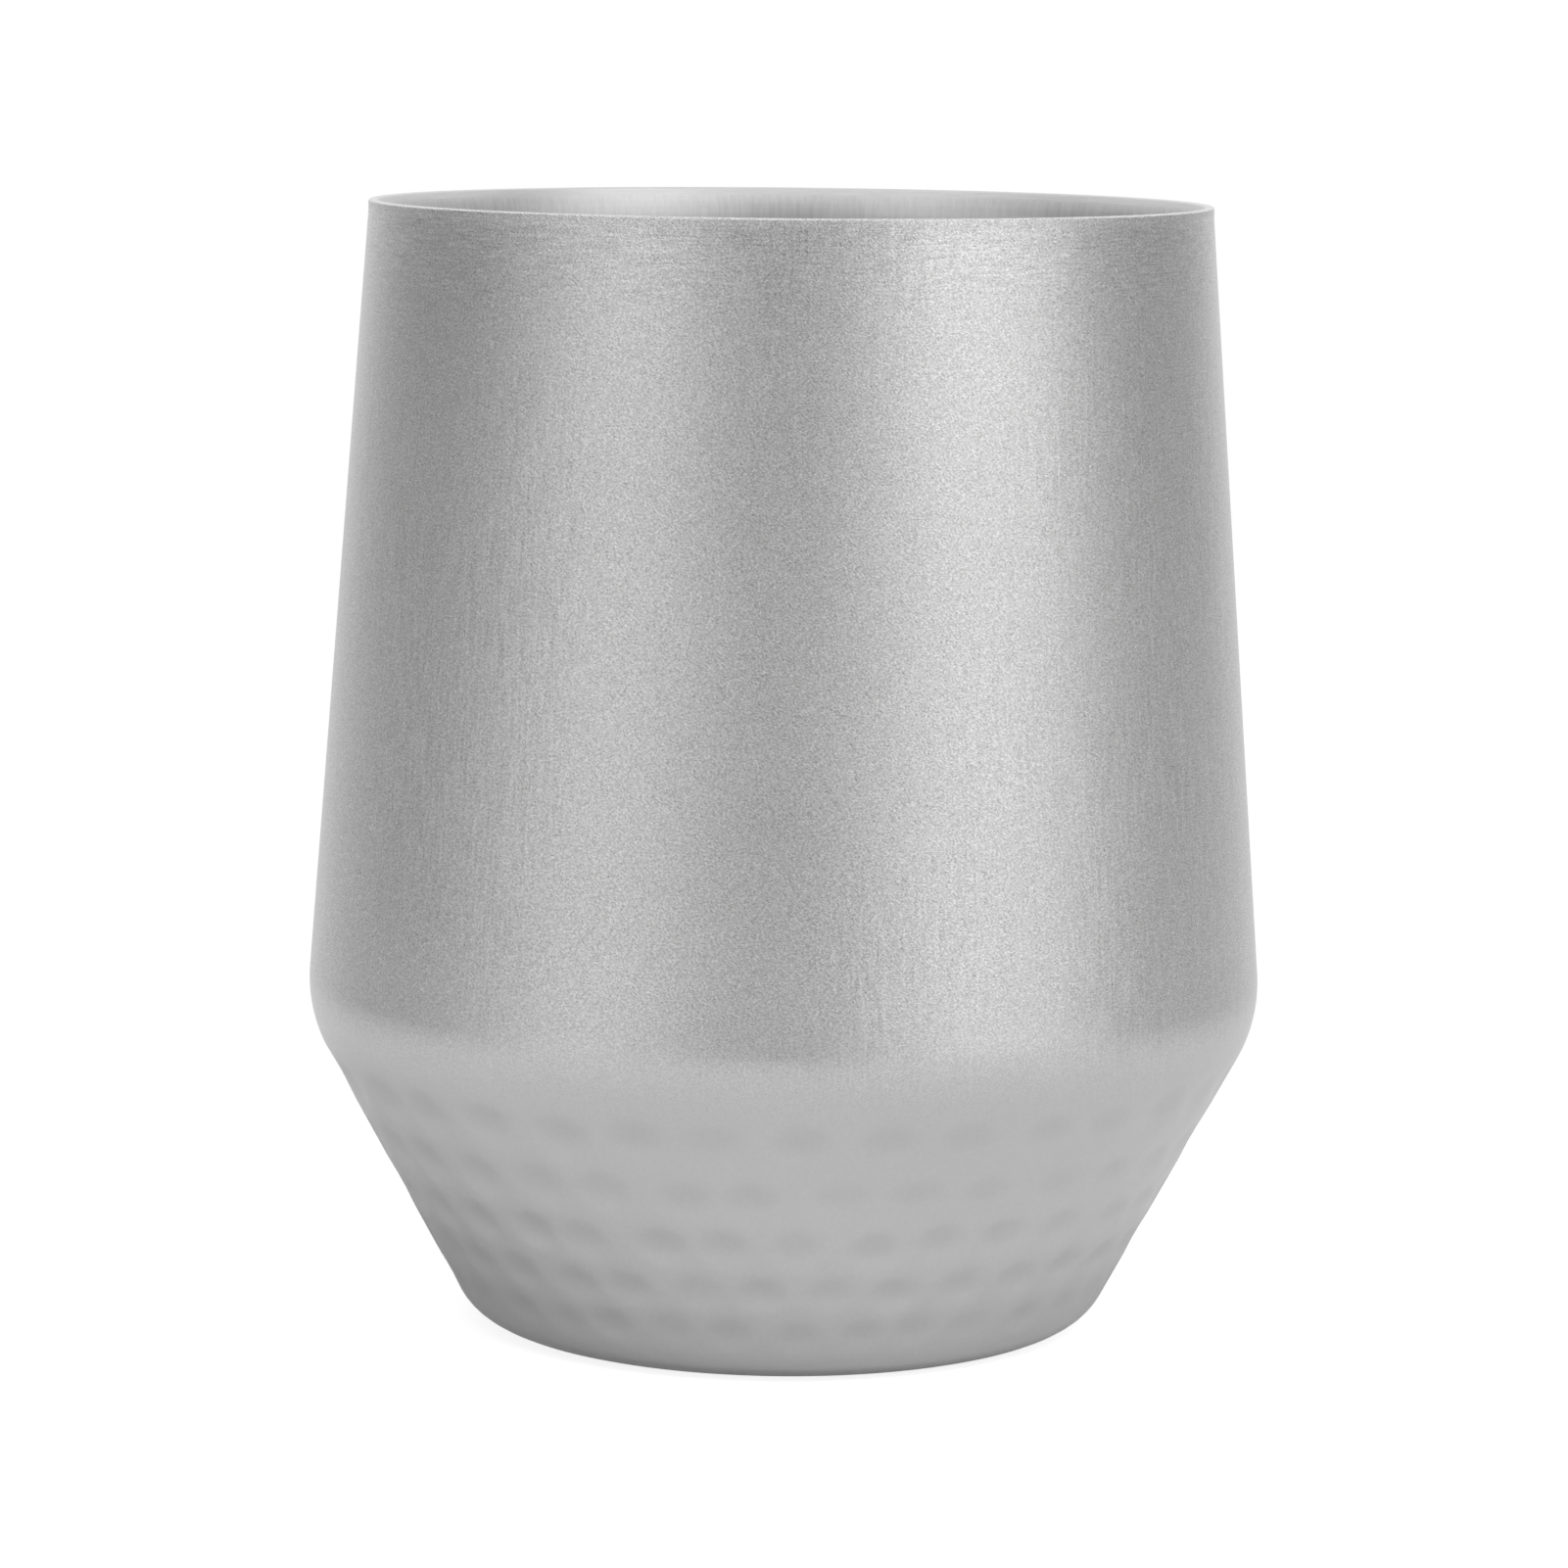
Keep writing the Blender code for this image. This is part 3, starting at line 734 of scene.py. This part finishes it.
class CUP_OT_base(bpy.types.Operator):
    """Base cover: a shallow pan in the neck with one pressed step"""

    bl_idname = "cup.base"
    bl_label = "Base Cover"

    def execute(self, context):
        sizes = context.scene.cup_sizes
        low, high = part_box("base_cap")
        step = sizes.cap_step
        corners = [Vector((sizes.cap_radius, high.z)),
                   Vector((sizes.cap_radius, low.z)),
                   Vector((sizes.cap_ring, low.z)),
                   Vector((sizes.cap_ring - step, low.z + step)),
                   Vector((0.0, low.z + step))]
        radii = [sizes.cap_rounding, step, step]
        path = rounded_path(corners, radii, spans=[8, 5, 5], cuts=[2, 4, 1, 6])
        cover = spin_profile("base_cover", path, COVER_COLUMNS)
        thicken(cover, sizes.cap_sheet)
        finish = turned_steel("cap_steel", context.scene.cup_colours.cap, roughness=0.33)
        set_in_place(cover, finish, "base_cap")
        return {'FINISHED'}


class CUP_OT_vacuum(bpy.types.Operator):
    """Finishes of the solids that stay as they are between the two walls and in the base"""

    bl_idname = "cup.vacuum"
    bl_label = "Pieces in the Vacuum"

    def execute(self, context):
        colours = context.scene.cup_colours
        weld = weld_steel(colours.seam, colours.straw)
        pressed = turned_steel("pressed_steel", colours.pressed, roughness=0.38)
        finishes = {"liner_weld": weld,
                    "base_weld": weld,
                    "reflective_foil": copper_foil(colours.copper),
                    "vacuum_base": pressed,
                    "getter_cup": pressed,
                    "getter_pellet": sintered_alloy(colours.getter),
                    "seal_bead": solder_glass(colours.glass)}
        for name, material in finishes.items():
            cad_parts[name].material_slots[0].material = material
        return {'FINISHED'}


class CUP_OT_stage(bpy.types.Operator):
    """Studio: pale floor, white room with grey flags, softboxes and the camera"""

    bl_idname = "cup.stage"
    bl_label = "Studio"

    def execute(self, context):
        scene = context.scene
        scene.view_settings.view_transform = 'Standard'
        self.lay_floor(scene)
        self.light_room(scene)
        self.hang_softboxes()
        self.set_camera(scene)
        return {'FINISHED'}

    def lay_floor(self, scene):
        """A pale disc, open from below, that takes the cup's shadow and fades into the white of the room."""
        studio = scene.cup_studio
        bpy.ops.object.select_all(action='DESELECT')
        bpy.ops.mesh.primitive_circle_add(vertices=FLOOR_SIDES, radius=studio.floor_size, fill_type='NGON',
                                          location=(0.0, 0.0, -FLOOR_DROP))
        floor = bpy.context.object
        floor.name = "floor"
        material, finish = new_finish("pale_floor")
        camera, mirrored = self.rays(finish)
        place = finish.place()
        speck = finish.noise(place, 600.0)
        white = camera * studio.floor_glow + mirrored * studio.floor_mirrored
        pale = finish.principled(Base_Color=finish.shaded(scene.cup_colours.floor, 1.0 + speck * 0.04),
                                 Roughness=0.9, Specular_IOR_Level=0.0,
                                 Emission_Color=finish.grey(white), Emission_Strength=1.0)
        clear = finish.node('BsdfTransparent', {}, {})
        away = finish.ease(finish.radius(place), studio.floor_plain, studio.floor_size)
        below = finish.node('NewGeometry', {}, {}, 'Backfacing')
        faded = finish.node('MixShader', {}, {0: finish.maths('MAXIMUM', away, below), 1: pale, 2: clear})
        finish.node('OutputMaterial', {}, {"Surface": faded})
        material.cycles.emission_sampling = 'NONE'
        floor.data.materials.append(material)

    def rays(self, finish):
        """One for what the camera looks at, and one for what a reflection or glass shows."""
        camera = finish.node('LightPath', {}, {}, 'Is Camera Ray')
        glossy = finish.node('LightPath', {}, {}, 'Is Glossy Ray')
        through = finish.node('LightPath', {}, {}, 'Is Transmission Ray')
        return camera, finish.maths('MAXIMUM', glossy, through)

    def light_room(self, scene):
        """White all round, with soft grey flags that reflections show and the camera doesn't."""
        world = bpy.data.worlds.new("studio")
        scene.world = world
        world.use_nodes = True
        finish = Finish(world.node_tree)
        direction = finish.node('TexCoord', {}, {}, 'Generated')
        bearing = finish.maths('ARCTAN2', finish.part(direction, 0), finish.part(direction, 1) * -1.0)
        rise = finish.part(direction, 2)
        white = 1.0 + finish.ease(rise, *ROOM_LIFT) * ROOM_LIFT_SHARE
        leaning = bearing * (1.0 + finish.ease(rise, *FLAG_LEAN) * FLAG_LEAN_SHARE)
        for sides, heights, cover in FLAGS:
            across = finish.band(leaning, *map(math.radians, sides))
            white = white - across * finish.band(rise, *heights) * cover
        camera, mirrored = self.rays(finish)
        level = camera + mirrored * white + (1.0 - camera - mirrored) * scene.cup_studio.room
        light = finish.node('Background', {}, {"Color": finish.grey(level), "Strength": 1.0})
        finish.node('OutputWorld', {}, {"Surface": light})

    def hang_softboxes(self):
        """Softboxes that face the cup."""
        for name, (bearing, rise, distance, width, tall, radiance, mirrored) in SOFTBOXES.items():
            lift = Matrix.Rotation(math.radians(-rise), 3, 'X')
            place = Matrix.Rotation(math.radians(bearing), 3, 'Z') @ lift @ Vector((0.0, -distance, 0.0))
            bpy.ops.object.light_add(type='AREA', location=place,
                                     rotation=(-place).to_track_quat('-Z', 'Y').to_euler())
            lamp = bpy.context.object
            lamp.name = name
            lamp.data.shape = 'RECTANGLE'
            lamp.data.size = width
            lamp.data.size_y = tall
            lamp.data.energy = radiance * math.pi * width * tall
            lamp.visible_glossy = mirrored

    def set_camera(self, scene):
        """A long lens that looks a little down at the cup."""
        studio = scene.cup_studio
        turn = Matrix.Rotation(math.pi / 2 - studio.pitch, 3, 'X') @ Matrix.Rotation(studio.roll, 3, 'Z')
        bpy.ops.object.camera_add(location=(studio.aside, -studio.distance, studio.height),
                                  rotation=turn.to_euler())
        camera = bpy.context.object
        camera.name = "camera"
        camera.data.sensor_width = SENSOR_WIDTH
        camera.data.lens = studio.focal
        camera.data.clip_start = NEAREST
        scene.camera = camera


class CUP_PT_pieces(bpy.types.Panel):
    """Pieces of the cup, with their sizes and colours"""

    bl_idname = "CUP_PT_pieces"
    bl_label = "Insulated Cup"
    bl_space_type = 'VIEW_3D'
    bl_region_type = 'UI'
    bl_category = "Cup"

    def draw(self, context):
        layout = self.layout
        for step in STEPS:
            layout.operator(step.bl_idname)
        for group in GROUPS:
            box = layout.box()
            settings = getattr(context.scene, group)
            for name in settings.bl_rna.properties.keys():
                if name not in {"rna_type", "name"}:
                    box.prop(settings, name)


STEPS = (CUP_OT_shell, CUP_OT_lip, CUP_OT_liner, CUP_OT_base, CUP_OT_vacuum, CUP_OT_stage)
GROUPS = {"cup_sizes": CupSizes, "cup_colours": CupColours, "cup_studio": CupStudio}
CLASSES = (*GROUPS.values(), *STEPS, CUP_PT_pieces)


def register():
    """Add the classes, and the settings to every scene."""
    for item in CLASSES:
        bpy.utils.register_class(item)
    for name, group in GROUPS.items():
        setattr(bpy.types.Scene, name, PointerProperty(type=group))


def unregister():
    """Take the settings and the classes out again."""
    for name in GROUPS:
        delattr(bpy.types.Scene, name)
    for item in reversed(CLASSES):
        bpy.utils.unregister_class(item)


def main():
    """Build the cup and its studio."""
    register()
    bpy.ops.cup.shell()
    bpy.ops.cup.lip()
    bpy.ops.cup.liner()
    bpy.ops.cup.base()
    bpy.ops.cup.vacuum()
    bpy.ops.cup.stage()


if __name__ == "__main__":
    main()
